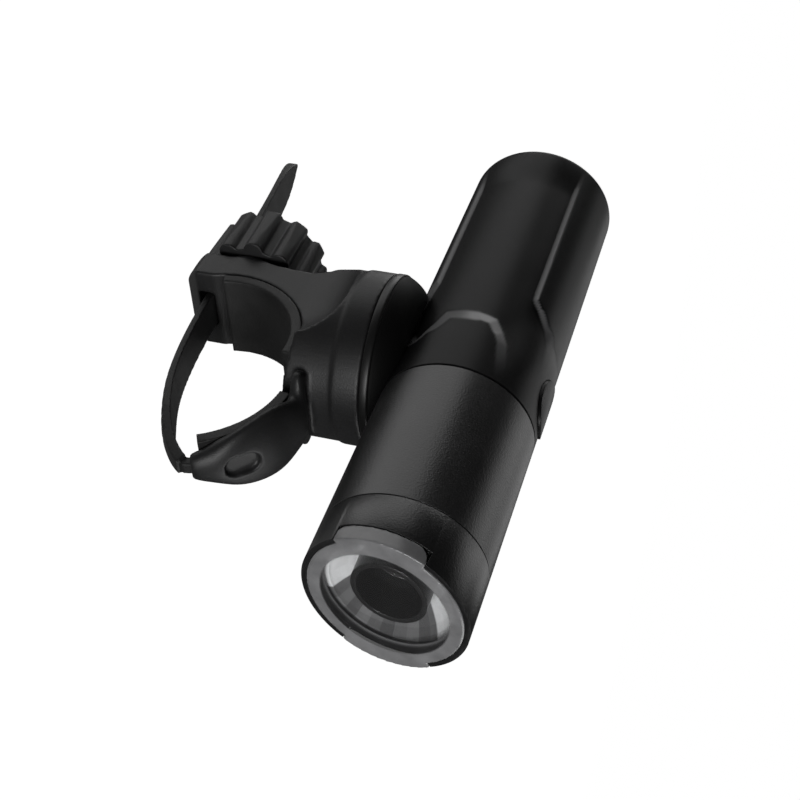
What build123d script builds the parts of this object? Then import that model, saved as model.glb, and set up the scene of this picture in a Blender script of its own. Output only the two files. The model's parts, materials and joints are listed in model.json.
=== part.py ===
from build123d import *
from math import cos, radians, sin, sqrt
import os

# A torch-shaped handlebar headlight on a strap clamp. Millimetres, +Z up.
# The origin is the centre of the clamp's round saddle. X runs along the
# handlebar, the light shines towards -Y, and the light sits above the bar.

os.makedirs("parts", exist_ok=True)

# Light body: a round tube along Y
BODY_R = 15.5
AXIS_Z = 51.1
FRONT_Y = -49.4
REAR_Y = 69.4
RAKE = 0.111
BEZEL_PARTING_Y = -38.75
MID_PARTING_Y = -4.56
BODY_BORE_R = 12.65
REAR_EDGE_R = 1.3
PANEL_DEPTH = 0.8
EDGE_BREAK = 0.25

# Window and optics at the front
WINDOW_R = 14.5
WINDOW_T = 1.9
TAB_T = 2.9
OPTIC_R = 7.15
DISH_R = 13.1

# Cell, boards and contacts
CELL_R = 9.15
CELL_Z = 50.1
CELL_FRONT_Y = -6.0
CELL_REAR_Y = 58.0
BOARD_R = 12.6
SPIGOT_R = 14.2
SPIGOT_FRONT_Y = -8.8

# Power button, an oval across the top
BUTTON_Y = 4.35
BUTTON_HALF_X = 5.3
BUTTON_HALF_Y = 6.2
BUTTON_GAP = 0.15

# Swivel under the body, turning about a vertical axis
SWIVEL_Y = 10.2
NECK_R = 17.35
COLLAR_R = 17.7
COLLAR_BOTTOM_Z = 27.1
COLLAR_TOP_Z = 32.6
PLATE_R = 17.8
PLATE_BOTTOM_Z = 32.7
PLATE_TOP_Z = 34.5
PIVOT_R = 4.0
PIVOT_GAP = 0.05
FOOT_R = 17.5
FOOT_TOP_R = 13.0
FOOT_TOP_Z = 39.1
FOOT_SCREW_PITCH = 15.0

# Handlebar saddle
BAR_R = 15.9
PAD_T = 2.2
SADDLE_HALF_X = 9.5
PAD_START_DEG = -13.0
PAD_END_DEG = 98.0

# Hook arm in front of the bar
ARM_Y = -5.8
ARM_Z = -2.4
ARM_PAD_R = 20.0
ARM_INNER_R = 22.25
ARM_PAD_HALF_X = 5.0
ARM_PAD_START_DEG = 97.5
ARM_PAD_END_DEG = 153.5

# Strap, its pin and the thumb nut that draws it in
STRAP_HALF_X = 4.0
STRAP_Z = -7.3
STRAP_CROWN_R = 8.2
STRAP_TIP_Y = 73.0
STRAP_TIP_DROP = 1.7
TOOTH_PITCH = 2.4
TOOTH_DEPTH = 0.8
PIN_Y = -25.9
PIN_Z = 10.9
PIN_R = 0.6
NUT_Z = -1.4
NUT_FRONT_Y = 25.3
NUT_REAR_Y = 37.9
NUT_LOBES = 11
NUT_ROOT_R = 8.5
BOSS_R = 7.5
EAR_FRONT_Y = 17.0
EAR_REAR_Y = 24.1
EAR_TIP_R = 12.4
EAR_TIP_Z = -2.4

# Planes used by the light's own shapes
front_plane = Plane(origin=(0, FRONT_Y, AXIS_Z), x_dir=(-1, 0, 0), z_dir=(0, 1, RAKE))


def section(y, z=AXIS_Z):
    """A plane across the light at y, facing rearwards."""
    return Plane(origin=(0, y, z), x_dir=(-1, 0, 0), z_dir=(0, 1, 0))


def rod(radius, y0, y1, x=0.0, z=AXIS_Z, mode=Mode.ADD):
    """A cylinder along Y from y0 to y1."""
    with Locations((x, (y0 + y1) / 2, z)):
        Cylinder(radius, y1 - y0, rotation=(90, 0, 0), mode=mode)


def post(radius, z0, z1, x=0.0, y=SWIVEL_Y, mode=Mode.ADD):
    """A cylinder along Z from z0 to z1."""
    with Locations((x, y, (z0 + z1) / 2)):
        Cylinder(radius, z1 - z0, mode=mode)


def block(x0, x1, y0, y1, z0, z1, mode=Mode.ADD):
    """A box between the given limits."""
    with Locations(((x0 + x1) / 2, (y0 + y1) / 2, (z0 + z1) / 2)):
        Box(x1 - x0, y1 - y0, z1 - z0, mode=mode)


def sector_points(radius, start, end, steps=24):
    """Points on a circle, for the outline of a sector."""
    turns = [start + (end - start) * i / steps for i in range(steps + 1)]
    return [(radius * cos(radians(a)), radius * sin(radians(a))) for a in turns]


# Front bezel: a raked ring that holds the window
with BuildPart() as front_bezel:
    rod(BODY_R, FRONT_Y - 4, BEZEL_PARTING_Y - 0.05)
    rod(14.2, BEZEL_PARTING_Y - 0.05, -34.8)
    rod(13.2, FRONT_Y - 5, -34.7, mode=Mode.SUBTRACT)
    split(bisect_by=front_plane, keep=Keep.TOP)
    with BuildSketch(front_plane.offset(-1)):
        Circle(WINDOW_R + 0.1)
    extrude(amount=1 + WINDOW_T + 0.9, mode=Mode.SUBTRACT)
    with BuildSketch(front_plane.offset(-1)):
        for centre in (-1.5, 181.5):
            with BuildLine():
                rim = Polyline(*sector_points(16.5, centre - 32.6, centre + 32.6))
                back = Polyline(*sector_points(14.55, centre + 32.6, centre - 32.6))
                Line(rim @ 1, back @ 0)
                Line(back @ 1, rim @ 0)
            make_face()
    extrude(amount=1 + TAB_T + 0.1, mode=Mode.SUBTRACT)
front_bezel.part.label = "front_bezel"

# Clear window with a tab wrapping over each side of the bezel
with BuildPart() as lens_window:
    with BuildSketch(front_plane.offset(-0.3)):
        Circle(WINDOW_R)
    extrude(amount=0.3 + WINDOW_T)
    with BuildSketch(front_plane.offset(-0.3)):
        for centre in (-1.5, 181.5):
            with BuildLine():
                rim = Polyline(*sector_points(16.2, centre - 32.3, centre + 32.3))
                back = Polyline(*sector_points(13.5, centre + 32.3, centre - 32.3))
                Line(rim @ 1, back @ 0)
                Line(back @ 1, rim @ 0)
            make_face()
    extrude(amount=0.3 + WINDOW_T)
    with BuildSketch(front_plane.offset(WINDOW_T - 0.1)):
        for centre in (-1.5, 181.5):
            with BuildLine():
                rim = Polyline(*sector_points(16.2, centre - 32.3, centre + 32.3))
                back = Polyline(*sector_points(14.7, centre + 32.3, centre - 32.3))
                Line(rim @ 1, back @ 0)
                Line(back @ 1, rim @ 0)
            make_face()
    extrude(amount=TAB_T - WINDOW_T + 0.1)
    rod(BODY_R - 0.02, FRONT_Y - 5, FRONT_Y + 5, mode=Mode.INTERSECT)
lens_window.part.label = "lens_window"

# Window seal, a flat ring behind the window
with BuildPart() as window_seal:
    with BuildSketch(front_plane.offset(WINDOW_T + 0.02)):
        Circle(14.4)
        Circle(13.25, mode=Mode.SUBTRACT)
    extrude(amount=0.84)
window_seal.part.label = "window_seal"

# Reflector: a bright dish round the central optic
with BuildPart() as reflector:
    rod(DISH_R, FRONT_Y - 3, -33.0)
    split(bisect_by=front_plane.offset(WINDOW_T + 0.9), keep=Keep.TOP)
    with BuildSketch(Plane(origin=(0, 0, AXIS_Z), x_dir=(0, 1, 0), z_dir=(1, 0, 0))):
        with BuildLine():
            Polyline((-53, 0), (-53, 15.5), (-48.5, 13.4), (-46.2, 12.4))
            Spline((-46.2, 12.4), (-43.4, 10.4), (-41.5, OPTIC_R + 0.5))
            Polyline((-41.5, OPTIC_R + 0.5), (-41.5, 0), (-53, 0))
        make_face()
    revolve(axis=Axis((0, 0, AXIS_Z), (0, 1, 0)), mode=Mode.SUBTRACT)
    rod(OPTIC_R + 0.03, FRONT_Y - 4, -32.0, mode=Mode.SUBTRACT)
reflector.part.label = "reflector"

# Dark barrel that carries the central lens
with BuildPart() as optic_barrel:
    rod(OPTIC_R, FRONT_Y, -34.2)
    split(bisect_by=front_plane.offset(WINDOW_T + 0.4), keep=Keep.TOP)
    rod(6.1, FRONT_Y - 1, -34.0, mode=Mode.SUBTRACT)
    rod(6.15, -38.3, -37.2)
    rod(4.6, -38.4, -37.0, mode=Mode.SUBTRACT)
optic_barrel.part.label = "optic_barrel"

# Central lens, flat behind and domed in front
with BuildPart() as optic_lens:
    with BuildSketch(Plane(origin=(0, 0, AXIS_Z), x_dir=(0, 1, 0), z_dir=(1, 0, 0))):
        with BuildLine():
            ThreePointArc((-43.4, 0), (-42.6, 3.3), (-40.2, 6.05))
            Polyline((-40.2, 6.05), (-38.4, 6.05), (-38.4, 0), (-43.4, 0))
        make_face()
    revolve(axis=Axis((0, 0, AXIS_Z), (0, 1, 0)))
optic_lens.part.label = "optic_lens"

# Light-emitting chip and the round board behind it
with BuildPart() as led_emitter:
    block(-1.75, 1.75, -33.6, -32.95, AXIS_Z - 1.75, AXIS_Z + 1.75)
    rod(1.3, -34.1, -33.6)
led_emitter.part.label = "led_emitter"

with BuildPart() as led_board:
    rod(BOARD_R, -32.93, -31.3)
    for side in (-1, 1):
        rod(1.0, -33.2, -31.0, x=side * 8.5, mode=Mode.SUBTRACT)
led_board.part.label = "led_board"

# Front housing: heat-sink wall, driver space and the socket of the joint
with BuildPart() as front_housing:
    rod(BODY_R, BEZEL_PARTING_Y, MID_PARTING_Y - 0.06)
    chamfer(edges(), EDGE_BREAK)
    rod(14.25, BEZEL_PARTING_Y - 1, -34.7, mode=Mode.SUBTRACT)
    rod(13.2, -35.0, -31.25, mode=Mode.SUBTRACT)
    rod(BODY_BORE_R, -27.2, 0.0, mode=Mode.SUBTRACT)
    rod(SPIGOT_R + 0.05, SPIGOT_FRONT_Y - 0.1, 0.0, mode=Mode.SUBTRACT)
    rod(1.6, -32.0, -27.0, x=8.5, mode=Mode.SUBTRACT)
front_housing.part.label = "front_housing"

# Driver board with its coil and chips
with BuildPart() as driver_board:
    rod(12.3, -25.0, -23.6)
    rod(3.2, -23.6, -20.4, z=AXIS_Z + 5)
    block(-8.5, -4.0, -23.6, -22.0, AXIS_Z - 6, AXIS_Z - 1.5)
    block(2.0, 7.5, -23.6, -21.8, AXIS_Z - 7.5, AXIS_Z - 3)
driver_board.part.label = "driver_board"

# Seal ring in the groove of the spigot
with BuildPart() as housing_seal:
    with Locations((0, -6.9, AXIS_Z)):
        Torus(13.72, 0.46, rotation=(90, 0, 0))
housing_seal.part.label = "housing_seal"

# Side recess of the rear housing, seen from the side as (y, z)
recess_outline = [
    (66.5, 60.1),
    (21.8, 60.2),
    (19.7, 61.9),
    (17.0, 63.6),
    (14.0, 62.4),
    (8.0, 59.6),
    (7.2, 58.3),
    (9.1, 57.3),
    (12.0, 55.4),
    (12.7, 51.1),
    (12.9, 44.4),
    (9.5, 42.4),
    (6.9, 40.1),
    (10.5, 38.2),
    (20.6, 38.0),
    (25.0, 39.4),
    (66.5, 39.4),
]
with BuildPart() as side_recess:
    with BuildSketch(Plane.YZ.offset(-20)):
        with BuildLine():
            Polyline(*recess_outline, close=True)
        make_face()
    extrude(amount=40)
    rod(BODY_R - PANEL_DEPTH, -10, 75, mode=Mode.SUBTRACT)

# Rear housing: the handle of the light, with the button's opening
with BuildPart() as rear_housing:
    rod(BODY_R, MID_PARTING_Y, REAR_Y)
    fillet(edges().group_by(Axis.Y)[-1], REAR_EDGE_R)
    chamfer(edges().group_by(Axis.Y)[0], EDGE_BREAK)
    add(side_recess.part, mode=Mode.SUBTRACT)
    rod(SPIGOT_R, SPIGOT_FRONT_Y, MID_PARTING_Y)
    with BuildSketch(section(-7.5)):
        Circle(SPIGOT_R + 1)
        Circle(13.25, mode=Mode.SUBTRACT)
    extrude(amount=1.2, mode=Mode.SUBTRACT)
    rod(BODY_BORE_R, -10, 70, mode=Mode.SUBTRACT)
    with BuildSketch(Plane.XY.offset(58)):
        with Locations((0, BUTTON_Y)):
            Ellipse(BUTTON_HALF_X + BUTTON_GAP, BUTTON_HALF_Y + BUTTON_GAP)
    extrude(amount=12, mode=Mode.SUBTRACT)
    with BuildSketch(Plane.XY.offset(58)):
        with Locations((0, BUTTON_Y + 0.4)):
            Ellipse(BUTTON_HALF_X + 1.0, BUTTON_HALF_Y + 1.0)
        with Locations((0, BUTTON_Y)):
            Rectangle(10.4, 9.6)
    extrude(amount=6, mode=Mode.SUBTRACT)
    for side in (-1, 1):
        post(1.05, 35.0, 37.85, y=SWIVEL_Y + side * FOOT_SCREW_PITCH / 2, mode=Mode.SUBTRACT)
rear_housing.part.label = "rear_housing"

# Button cap with a flange that keeps it in the housing
with BuildPart() as power_button:
    with BuildSketch(Plane.XY.offset(62.45)):
        with Locations((0, BUTTON_Y)):
            Ellipse(BUTTON_HALF_X, BUTTON_HALF_Y)
    extrude(amount=6)
    with BuildSketch(Plane.XY.offset(62.45)):
        with Locations((0, BUTTON_Y + 0.4)):
            Ellipse(BUTTON_HALF_X + 0.7, BUTTON_HALF_Y + 0.7)
    extrude(amount=1.3)
    rod(BODY_R + 0.5, -10, 20, mode=Mode.INTERSECT)
power_button.part.label = "power_button"

# Switch under the button, on its own small board
with BuildPart() as button_board:
    block(-4.8, 4.8, -1.5, 11.0, 60.25, 61.0)
button_board.part.label = "button_board"

with BuildPart() as button_switch:
    block(-1.8, 1.8, BUTTON_Y - 1.8, BUTTON_Y + 1.8, 61.02, 61.6)
    post(0.9, 61.6, 61.88, y=BUTTON_Y)
button_switch.part.label = "button_switch"

# Holder round the cell, flat on top to carry the button's board
with BuildPart() as cell_holder:
    rod(12.6, -9.5, 57.5)
    rod(CELL_R + 0.05, -5.95, 58, z=CELL_Z, mode=Mode.SUBTRACT)
    rod(8.6, -8.0, -5.9, z=CELL_Z, mode=Mode.SUBTRACT)
    block(-20, 20, -12, 60, 60.2, 75, mode=Mode.SUBTRACT)
    rod(1.5, -12, -7, z=CELL_Z, mode=Mode.SUBTRACT)
cell_holder.part.label = "cell_holder"

# Rechargeable cell with its raised front terminal
with BuildPart() as battery_cell:
    rod(CELL_R, CELL_FRONT_Y + 0.1, CELL_REAR_Y, z=CELL_Z)
    fillet(edges(), 0.6)
    rod(3.2, CELL_FRONT_Y - 0.9, CELL_FRONT_Y + 0.2, z=CELL_Z)
battery_cell.part.label = "battery_cell"

# Contacts at the two ends of the cell
with BuildPart() as front_contact:
    rod(5.0, -7.95, -7.3, z=CELL_Z)
    rod(1.8, -7.3, -6.92, z=CELL_Z)
    rod(1.45, -10.5, -7.95, z=CELL_Z)
front_contact.part.label = "front_contact"

with BuildPart() as rear_contact:
    rod(5.0, 58.02, 59.18, z=CELL_Z)
rear_contact.part.label = "rear_contact"

# Charging board and its socket at the rear end
with BuildPart() as charge_board:
    rod(12.5, 59.2, 60.3)
    rod(1.2, 58, 61, x=9.0, z=AXIS_Z + 4, mode=Mode.SUBTRACT)
    block(-8.0, -5.5, 60.3, 61.5, AXIS_Z + 3, AXIS_Z + 6.5)
charge_board.part.label = "charge_board"

with BuildPart() as charge_socket:
    with BuildSketch(section(60.32)):
        RectangleRounded(8.94, 3.26, 1.5)
    extrude(amount=6.6)
    with BuildSketch(section(61.5)):
        RectangleRounded(8.3, 2.6, 1.25)
    extrude(amount=6, mode=Mode.SUBTRACT)
    block(-3.4, 3.4, 60.9, 65.9, AXIS_Z - 0.35, AXIS_Z + 0.35)
charge_socket.part.label = "charge_socket"

# End cap with a recess for the socket's cover
with BuildPart() as end_cap:
    rod(BODY_BORE_R - 0.03, 64.1, 69.1)
    rod(10.5, 63.5, 66.7, mode=Mode.SUBTRACT)
    with BuildSketch(section(64.9)):
        RectangleRounded(9.5, 3.9, 1.8)
    extrude(amount=5, mode=Mode.SUBTRACT)
    with BuildSketch(section(67.9)):
        Rectangle(15.0, 8.6)
    extrude(amount=3, mode=Mode.SUBTRACT)
end_cap.part.label = "end_cap"

# Rubber cover over the socket, hinged along its lower edge
with BuildPart() as socket_cover:
    block(-7.2, 7.2, 68.0, 69.1, AXIS_Z - 3.55, AXIS_Z + 4.0)
    with Locations((0, 68.55, AXIS_Z - 3.55)):
        Cylinder(0.55, 14.4, rotation=(0, 90, 0))
    with BuildSketch(section(67.65)):
        RectangleRounded(8.2, 2.6, 1.2)
    extrude(amount=0.5)
    block(-1.6, 1.6, 68.5, 69.35, AXIS_Z + 2.9, AXIS_Z + 3.8)
socket_cover.part.label = "socket_cover"

# Domed foot between the swivel plate and the round body
with BuildPart() as mount_foot:
    with BuildSketch(Plane(origin=(0, SWIVEL_Y, 0), x_dir=(1, 0, 0), z_dir=(0, -1, 0))):
        with BuildLine():
            dome = ThreePointArc((FOOT_R, PLATE_TOP_Z + 0.02), (16.0, 37.0), (FOOT_TOP_R, FOOT_TOP_Z))
            Polyline(dome @ 1, (0, FOOT_TOP_Z), (0, PLATE_TOP_Z + 0.02), dome @ 0)
        make_face()
    revolve(axis=Axis((0, SWIVEL_Y, 0), (0, 0, 1)))
    rod(BODY_R + 0.02, -10, 30, mode=Mode.SUBTRACT)
    for side in (-1, 1):
        post(1.05, 34.0, 42.0, y=SWIVEL_Y + side * FOOT_SCREW_PITCH / 2, mode=Mode.SUBTRACT)
mount_foot.part.label = "mount_foot"

# Swivel plate with its pivot boss
with BuildPart() as swivel_plate:
    post(PLATE_R, PLATE_BOTTOM_Z, PLATE_TOP_Z)
    chamfer(edges().group_by(Axis.Z)[-1], 0.3)
    post(PIVOT_R, 22.05, PLATE_BOTTOM_Z + 0.1)
    post(1.45, 22.0, 31.0, mode=Mode.SUBTRACT)
    for side in (-1, 1):
        with Locations((0, SWIVEL_Y + side * FOOT_SCREW_PITCH / 2, PLATE_BOTTOM_Z)):
            Cone(2.1, 1.05, 1.2, align=(Align.CENTER, Align.CENTER, Align.MIN), mode=Mode.SUBTRACT)
        post(1.05, 32.0, 35.0, y=SWIVEL_Y + side * FOOT_SCREW_PITCH / 2, mode=Mode.SUBTRACT)
swivel_plate.part.label = "swivel_plate"

# Two countersunk screws from the plate up into the body
with BuildPart() as foot_screws:
    for side in (-1, 1):
        y = SWIVEL_Y + side * FOOT_SCREW_PITCH / 2
        with Locations((0, y, PLATE_BOTTOM_Z + 0.05)):
            Cone(1.95, 1.0, 1.1, align=(Align.CENTER, Align.CENTER, Align.MIN))
        post(1.0, PLATE_BOTTOM_Z + 1.1, 37.8, y=y)
foot_screws.part.label = "foot_screws"

# Pivot screw from the saddle side into the plate's boss
with BuildPart() as pivot_screw:
    post(3.3, 17.1, 18.9)
    post(1.4, 18.9, 30.0)
    block(-0.5, 0.5, SWIVEL_Y - 2.4, SWIVEL_Y + 2.4, 17.0, 17.8, mode=Mode.SUBTRACT)
pivot_screw.part.label = "pivot_screw"

# Friction ring between collar and plate
with BuildPart() as friction_ring:
    with BuildSketch(Plane.XY.offset(32.0)):
        with Locations((0, SWIVEL_Y)):
            Circle(15.0)
            Circle(5.0, mode=Mode.SUBTRACT)
    extrude(amount=0.65)
friction_ring.part.label = "friction_ring"

# Bowl-shaped scoop on each side of the neck: its centre and half sizes
SCOOP_X = 18.0
SCOOP_Y = 9.5
SCOOP_Z = 12.8
SCOOP_A = 8.5
SCOOP_B = 13.3

# Hook arm, a spoon-shaped moulding: turn about the arm's centre, half width
# and the radius of its crowned outer face
arm_stations = [
    (84, 5.6, 26.4),
    (100, 6.0, 26.5),
    (110, 7.2, 26.6),
    (120, 8.0, 26.6),
    (130, 7.4, 26.5),
    (140, 6.0, 26.3),
    (147, 4.6, 26.1),
    (152, 3.7, 25.7),
    (156, 3.0, 25.3),
    (157.8, 2.6, 24.9),
]
with BuildPart() as hook_arm:
    for turn, half, crown_r in arm_stations:
        flat = min(half - 0.4, ARM_PAD_HALF_X)
        across = Plane(
            origin=(0, ARM_Y, ARM_Z),
            x_dir=(1, 0, 0),
            z_dir=(0, -sin(radians(turn)), cos(radians(turn))),
        )
        with BuildSketch(across):
            with BuildLine():
                Spline(
                    (flat, ARM_INNER_R),
                    (half, ARM_INNER_R + 1.5),
                    (0, crown_r),
                    (-half, ARM_INNER_R + 1.5),
                    (-flat, ARM_INNER_R),
                )
                Line((-flat, ARM_INNER_R), (flat, ARM_INNER_R))
            make_face()
    loft()
    with Locations((0, ARM_Y, ARM_Z)):
        Cylinder(ARM_INNER_R, 60, rotation=(0, 90, 0), mode=Mode.SUBTRACT)

# Clamp base: collar, neck, saddle, ear and hook arm in one moulding
with BuildPart() as clamp_base:
    post(NECK_R, 14.0, COLLAR_BOTTOM_Z + 0.1)
    post(COLLAR_R, COLLAR_BOTTOM_Z, COLLAR_TOP_Z)
    for side in (-1, 1):
        with BuildSketch(Plane(origin=(side * SCOOP_X, SCOOP_Y, SCOOP_Z), x_dir=(1, 0, 0), z_dir=(0, 1, 0))):
            Ellipse(SCOOP_A, SCOOP_B)
        extrude(amount=30, mode=Mode.SUBTRACT)
        with BuildSketch(Plane(origin=(side * SCOOP_X, SCOOP_Y, SCOOP_Z), x_dir=(1, 0, 0), z_dir=(0, 1, 0))):
            Ellipse(SCOOP_A, SCOOP_B)
            with Locations((0, SCOOP_B)):
                Rectangle(40, 2 * SCOOP_B, mode=Mode.SUBTRACT)
        revolve(axis=Axis((side * SCOOP_X, SCOOP_Y, SCOOP_Z), (1, 0, 0)), mode=Mode.SUBTRACT)
        with BuildSketch(Plane.XY.offset(SCOOP_Z)):
            with Locations((side * SCOOP_X, SCOOP_Y)):
                Ellipse(SCOOP_A, SCOOP_B)
            with Locations((side * SCOOP_X, SCOOP_Y + 15)):
                Rectangle(2 * SCOOP_A, 30)
        extrude(amount=-40, mode=Mode.SUBTRACT)
    with BuildSketch(Plane.YZ.offset(-20)):
        with BuildLine():
            Spline((22.9, 10.0), (23.2, 15.0), (25.4, 20.6), (27.0, 22.7), (28.3, 26.0))
            Polyline((28.3, 26.0), (40, 26.0), (40, 10.0), (22.9, 10.0))
        make_face()
    extrude(amount=40, mode=Mode.SUBTRACT)
    with BuildSketch(Plane.YZ.offset(-SADDLE_HALF_X)):
        with BuildLine():
            Polyline((-4.3, 12.0), (-4.3, 25.0), (22.0, 25.0), (22.9, 10.0))
            Spline((22.9, 10.0), (23.2, 6.5), (EAR_REAR_Y, 2.0))
            Polyline(
                (EAR_REAR_Y, 2.0),
                (EAR_REAR_Y, -11.5),
                (22.5, -13.9),
                (19.8, -13.9),
                (EAR_FRONT_Y, -10.4),
                (EAR_FRONT_Y, -6.4),
                (12.0, -3.0),
                (-4.3, 12.0),
            )
        make_face()
    extrude(amount=2 * SADDLE_HALF_X)
    with BuildSketch(section(0, z=EAR_TIP_Z)):
        with Locations((0, -20)):
            Rectangle(60, 40)
        Circle(EAR_TIP_R, mode=Mode.SUBTRACT)
    extrude(amount=40, mode=Mode.SUBTRACT)
    add(hook_arm.part)
    with Locations((0, 0, 0)):
        Cylinder(BAR_R + PAD_T + 0.05, 60, rotation=(0, 90, 0), mode=Mode.SUBTRACT)
    pocket = Plane(
        origin=(0, ARM_Y, ARM_Z),
        x_dir=(1, 0, 0),
        z_dir=(0, cos(radians(136)), sin(radians(136))),
    )
    with BuildSketch(pocket.offset(25.1)):
        RectangleRounded(4.6, 7.0, 2.2)
    extrude(amount=4, mode=Mode.SUBTRACT)
    with BuildSketch(Plane.YZ.offset(-1.35)):
        with Locations((-27.3, 3.6)):
            Circle(1.15)
        with Locations((PIN_Y, PIN_Z)):
            Circle(1.4)
        make_hull()
    extrude(amount=2.7, mode=Mode.SUBTRACT)
    with Locations((0, PIN_Y, PIN_Z)):
        Cylinder(PIN_R + 0.02, 6.2, rotation=(0, 90, 0), mode=Mode.SUBTRACT)
    post(PIVOT_R + PIVOT_GAP, 22.0, 33.0, mode=Mode.SUBTRACT)
    post(1.7, 18.0, 23.0, mode=Mode.SUBTRACT)
    post(3.6, 12.0, 19.0, mode=Mode.SUBTRACT)
    with BuildSketch(Plane.XY.offset(31.98)):
        with Locations((0, SWIVEL_Y)):
            Circle(15.05)
    extrude(amount=2, mode=Mode.SUBTRACT)
    rod(BOSS_R, EAR_REAR_Y - 1, NUT_REAR_Y + 0.1, z=NUT_Z)
    rod(9.4, EAR_REAR_Y - 1, NUT_FRONT_Y - 0.1, z=NUT_Z)
    block(-4.3, 4.3, 10.0, 30.0, -10.4, -6.9, mode=Mode.SUBTRACT)
    block(-9.5, 9.5, EAR_REAR_Y, 40.0, -14.0, STRAP_Z + 0.1, mode=Mode.SUBTRACT)
    rod(1.3, 30.0, NUT_REAR_Y + 1, z=NUT_Z, mode=Mode.SUBTRACT)
clamp_base.part.label = "clamp_base"

# Rubber pad lining the saddle
with BuildPart() as saddle_pad:
    with BuildSketch(Plane.YZ.offset(-SADDLE_HALF_X)):
        with BuildLine():
            outer = Polyline(*sector_points(BAR_R + PAD_T, PAD_START_DEG, PAD_END_DEG, 48))
            inner = Polyline(*sector_points(BAR_R, PAD_END_DEG, PAD_START_DEG, 48))
            Line(outer @ 1, inner @ 0)
            Line(inner @ 1, outer @ 0)
        make_face()
    extrude(amount=2 * SADDLE_HALF_X)
saddle_pad.part.label = "saddle_pad"

# Ribbed rubber pad lining the hook arm
with BuildPart() as arm_pad:
    with BuildSketch(Plane.YZ.offset(-ARM_PAD_HALF_X)):
        with BuildLine():
            outer = Polyline(*sector_points(ARM_INNER_R - 0.05, ARM_PAD_START_DEG, ARM_PAD_END_DEG, 30))
            inner = Polyline(*sector_points(ARM_PAD_R, ARM_PAD_END_DEG, ARM_PAD_START_DEG, 30))
            Line(outer @ 1, inner @ 0)
            Line(inner @ 1, outer @ 0)
        pad_face = make_face(mode=Mode.PRIVATE)
        with Locations((ARM_Y, ARM_Z)):
            add(pad_face)
    extrude(amount=2 * ARM_PAD_HALF_X)
    with BuildSketch(Plane.XY.offset(-5)):
        with Locations((0, -24.0)):
            Ellipse(ARM_PAD_HALF_X, 5.0)
        with Locations((0, 1.0)):
            Rectangle(2 * ARM_PAD_HALF_X, 50)
    extrude(amount=40, mode=Mode.INTERSECT)
    for x in (-2.5, 0.0, 2.5):
        with Locations((x, ARM_Y, ARM_Z)):
            Cylinder(ARM_PAD_R + 0.5, 0.5, rotation=(0, 90, 0), mode=Mode.SUBTRACT)
arm_pad.part.label = "arm_pad"

# Toothed strap: a flat-sided band with a crowned outer face
strap_route = [
    (-26.6, 5.2),
    (-24.4, 2.7),
    (-20.1, -0.3),
    (-15.1, -2.6),
    (-8.4, -4.8),
    (-2.7, -5.9),
    (5.1, -6.75),
    (12.3, -7.15),
    (18.0, STRAP_Z),
]
TAIL_Y = 40.0
with BuildPart() as strap:
    with BuildLine() as strap_path:
        curve = Spline(*[(0, y, z) for y, z in strap_route])
        Line((0, 18.0, STRAP_Z), (0, TAIL_Y, STRAP_Z))
        tail = Spline(
            (0, TAIL_Y, STRAP_Z),
            (0, STRAP_TIP_Y, STRAP_Z - STRAP_TIP_DROP),
            tangents=[(0, 1, 0), (0, 1, -0.085)],
        )
    crown = STRAP_CROWN_R - (NUT_Z - STRAP_Z)
    edge = sqrt(STRAP_CROWN_R**2 - STRAP_HALF_X**2) - (NUT_Z - STRAP_Z)
    start = Plane(origin=curve @ 0, x_dir=(1, 0, 0), z_dir=curve % 0)
    with BuildSketch(start):
        with BuildLine():
            Polyline((-STRAP_HALF_X, edge), (-STRAP_HALF_X, 0), (STRAP_HALF_X, 0), (STRAP_HALF_X, edge))
            ThreePointArc((STRAP_HALF_X, edge), (0, crown), (-STRAP_HALF_X, edge))
        make_face()
    sweep(path=strap_path.line)
strap_band = strap.part
bend_length = curve.length
tail_length = tail.length

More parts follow.
